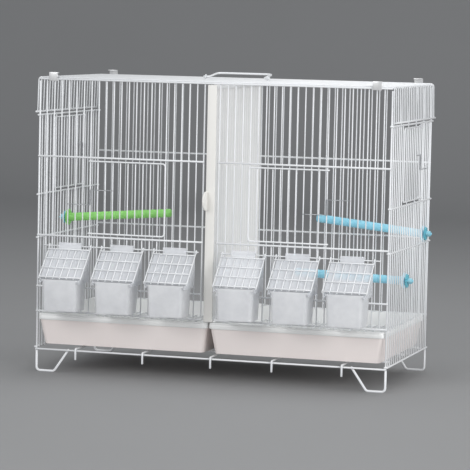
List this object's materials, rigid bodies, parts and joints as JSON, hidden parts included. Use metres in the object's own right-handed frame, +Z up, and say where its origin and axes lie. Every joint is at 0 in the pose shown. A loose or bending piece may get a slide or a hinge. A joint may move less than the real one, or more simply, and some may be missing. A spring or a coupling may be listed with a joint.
{
  "type": "bird cage",
  "caption": "Wire breeding cage with hinged doors, a pull-out divider, flap feeders, perches, pull-out trays, a bail handle and bent-wire feet.",
  "frame": {"origin": "centre of the bounding box at the level that the feet stand on", "axes": "+Z up, +X to the right as seen from the front, -Y towards the front with the doors and feeders"},
  "size_m": [0.624, 0.348, 0.5019],
  "materials": {
    "white_wire": "white powder coat, satin",
    "plated_clip": "plated, dull",
    "spring_steel": "drawn spring wire",
    "tray_plastic": "moulded, satin",
    "divider_plastic": "fine ribs",
    "strip_plastic": "smooth",
    "guide_plastic": "extruded",
    "green_plastic": "moulded",
    "blue_plastic": "moulded",
    "teal_plastic": "moulded",
    "nut_plastic": "moulded",
    "clear_plastic": "clear moulded plastic",
    "cup_plastic": "translucent white"
  },
  "bodies": {
    "cage": {"front_panel": "white_wire", "back_panel": "white_wire", "left_side_panel": "white_wire", "right_side_panel": "white_wire", "top_panel": "white_wire", "left_skirt": "white_wire", "right_skirt": "white_wire", "support_grid": "white_wire", "divider_floor_guide": "guide_plastic", "divider_top_guide": "guide_plastic", "handle_brackets": "white_wire", "stacking_clips": "plated_clip", "green_perch": "green_plastic", "upper_blue_perch": "blue_plastic", "lower_blue_perch": "blue_plastic", "perch_washers": "teal_plastic", "perch_wing_nuts": "nut_plastic", "front_left_foot": "white_wire", "front_right_foot": "white_wire", "back_left_foot": "white_wire", "back_right_foot": "white_wire", "left_front_door_spring": "spring_steel", "right_front_door_spring": "spring_steel", "left_nest_door_spring": "spring_steel", "right_nest_door_spring": "spring_steel", "feeder_hood_1": "clear_plastic", "feeder_hood_2": "clear_plastic", "feeder_hood_3": "clear_plastic", "feeder_hood_4": "clear_plastic", "feeder_hood_5": "clear_plastic", "feeder_hood_6": "clear_plastic"},
    "left_front_door": {"left_front_door": "white_wire"},
    "right_front_door": {"right_front_door": "white_wire"},
    "left_nest_door": {"left_nest_door": "white_wire"},
    "right_nest_door": {"right_nest_door": "white_wire"},
    "left_tray": {"left_tray": "tray_plastic", "left_floor_grate": "white_wire"},
    "right_tray": {"right_tray": "tray_plastic", "right_floor_grate": "white_wire"},
    "divider": {"divider_sheet": "divider_plastic", "divider_front_strip": "strip_plastic"},
    "handle": {"carrying_handle": "white_wire"},
    "gate_1": {"feeder_gate_1": "white_wire"},
    "cup_1": {"feeder_cup_1": "cup_plastic"},
    "gate_2": {"feeder_gate_2": "white_wire"},
    "cup_2": {"feeder_cup_2": "cup_plastic"},
    "gate_3": {"feeder_gate_3": "white_wire"},
    "cup_3": {"feeder_cup_3": "cup_plastic"},
    "gate_4": {"feeder_gate_4": "white_wire"},
    "cup_4": {"feeder_cup_4": "cup_plastic"},
    "gate_5": {"feeder_gate_5": "white_wire"},
    "cup_5": {"feeder_cup_5": "cup_plastic"},
    "gate_6": {"feeder_gate_6": "white_wire"},
    "cup_6": {"feeder_cup_6": "cup_plastic"}
  },
  "joints": [
    {"name": "left_front_door_hinge", "type": "hinge", "parent": "cage", "child": "left_front_door", "pos_m": [-0.208, -0.1195, 0.29393], "axis": [0, 0, -1], "range_deg": [0, 150], "stiffness_Nm_per_rad": 0.02, "springref_deg": -57.3, "deforming": ["left_front_door_spring"]},
    {"name": "left_nest_door_hinge", "type": "hinge", "parent": "cage", "child": "left_nest_door", "pos_m": [-0.299, 0.0885, 0.36106], "axis": [0, 0, -1], "range_deg": [0, 150], "stiffness_Nm_per_rad": 0.02, "springref_deg": -57.3, "deforming": ["left_nest_door_spring"]},
    {"name": "left_tray_slide", "type": "slide", "parent": "cage", "child": "left_tray", "axis": [0, -1, 0], "range_m": [0, 0.24]},
    {"name": "right_front_door_hinge", "type": "hinge", "parent": "cage", "child": "right_front_door", "pos_m": [0.195, -0.1195, 0.29393], "axis": [0, 0, 1], "range_deg": [0, 150], "stiffness_Nm_per_rad": 0.02, "springref_deg": -57.3, "deforming": ["right_front_door_spring"]},
    {"name": "right_nest_door_hinge", "type": "hinge", "parent": "cage", "child": "right_nest_door", "pos_m": [0.299, 0.0885, 0.36106], "axis": [0, 0, 1], "range_deg": [0, 150], "stiffness_Nm_per_rad": 0.02, "springref_deg": -57.3, "deforming": ["right_nest_door_spring"]},
    {"name": "right_tray_slide", "type": "slide", "parent": "cage", "child": "right_tray", "axis": [0, -1, 0], "range_m": [0, 0.24]},
    {"name": "feeder_gate_hinge_1", "type": "hinge", "parent": "cage", "child": "gate_1", "pos_m": [-0.2405, -0.12152, 0.21176], "axis": [-1, 0, 0], "range_deg": [0, 55]},
    {"name": "feeder_cup_slide_1", "type": "slide", "parent": "cage", "child": "cup_1", "axis": [0, -1, 0], "range_m": [0, 0.06]},
    {"name": "feeder_gate_hinge_2", "type": "hinge", "parent": "cage", "child": "gate_2", "pos_m": [-0.1495, -0.12152, 0.21176], "axis": [-1, 0, 0], "range_deg": [0, 55]},
    {"name": "feeder_cup_slide_2", "type": "slide", "parent": "cage", "child": "cup_2", "axis": [0, -1, 0], "range_m": [0, 0.06]},
    {"name": "feeder_gate_hinge_3", "type": "hinge", "parent": "cage", "child": "gate_3", "pos_m": [-0.0585, -0.12152, 0.21176], "axis": [-1, 0, 0], "range_deg": [0, 55]},
    {"name": "feeder_cup_slide_3", "type": "slide", "parent": "cage", "child": "cup_3", "axis": [0, -1, 0], "range_m": [0, 0.06]},
    {"name": "feeder_gate_hinge_4", "type": "hinge", "parent": "cage", "child": "gate_4", "pos_m": [0.0585, -0.12152, 0.21176], "axis": [-1, 0, 0], "range_deg": [0, 55]},
    {"name": "feeder_cup_slide_4", "type": "slide", "parent": "cage", "child": "cup_4", "axis": [0, -1, 0], "range_m": [0, 0.06]},
    {"name": "feeder_gate_hinge_5", "type": "hinge", "parent": "cage", "child": "gate_5", "pos_m": [0.1495, -0.12152, 0.21176], "axis": [-1, 0, 0], "range_deg": [0, 55]},
    {"name": "feeder_cup_slide_5", "type": "slide", "parent": "cage", "child": "cup_5", "axis": [0, -1, 0], "range_m": [0, 0.06]},
    {"name": "feeder_gate_hinge_6", "type": "hinge", "parent": "cage", "child": "gate_6", "pos_m": [0.2405, -0.12152, 0.21176], "axis": [-1, 0, 0], "range_deg": [0, 55]},
    {"name": "feeder_cup_slide_6", "type": "slide", "parent": "cage", "child": "cup_6", "axis": [0, -1, 0], "range_m": [0, 0.06]},
    {"name": "divider_slide", "type": "slide", "parent": "cage", "child": "divider", "axis": [0, -1, 0], "range_m": [0, 0.25]},
    {"name": "handle_hinge", "type": "hinge", "parent": "cage", "child": "handle", "pos_m": [0, 0.0105, 0.49464], "axis": [1, 0, 0], "range_deg": [0, 161]}
  ]
}
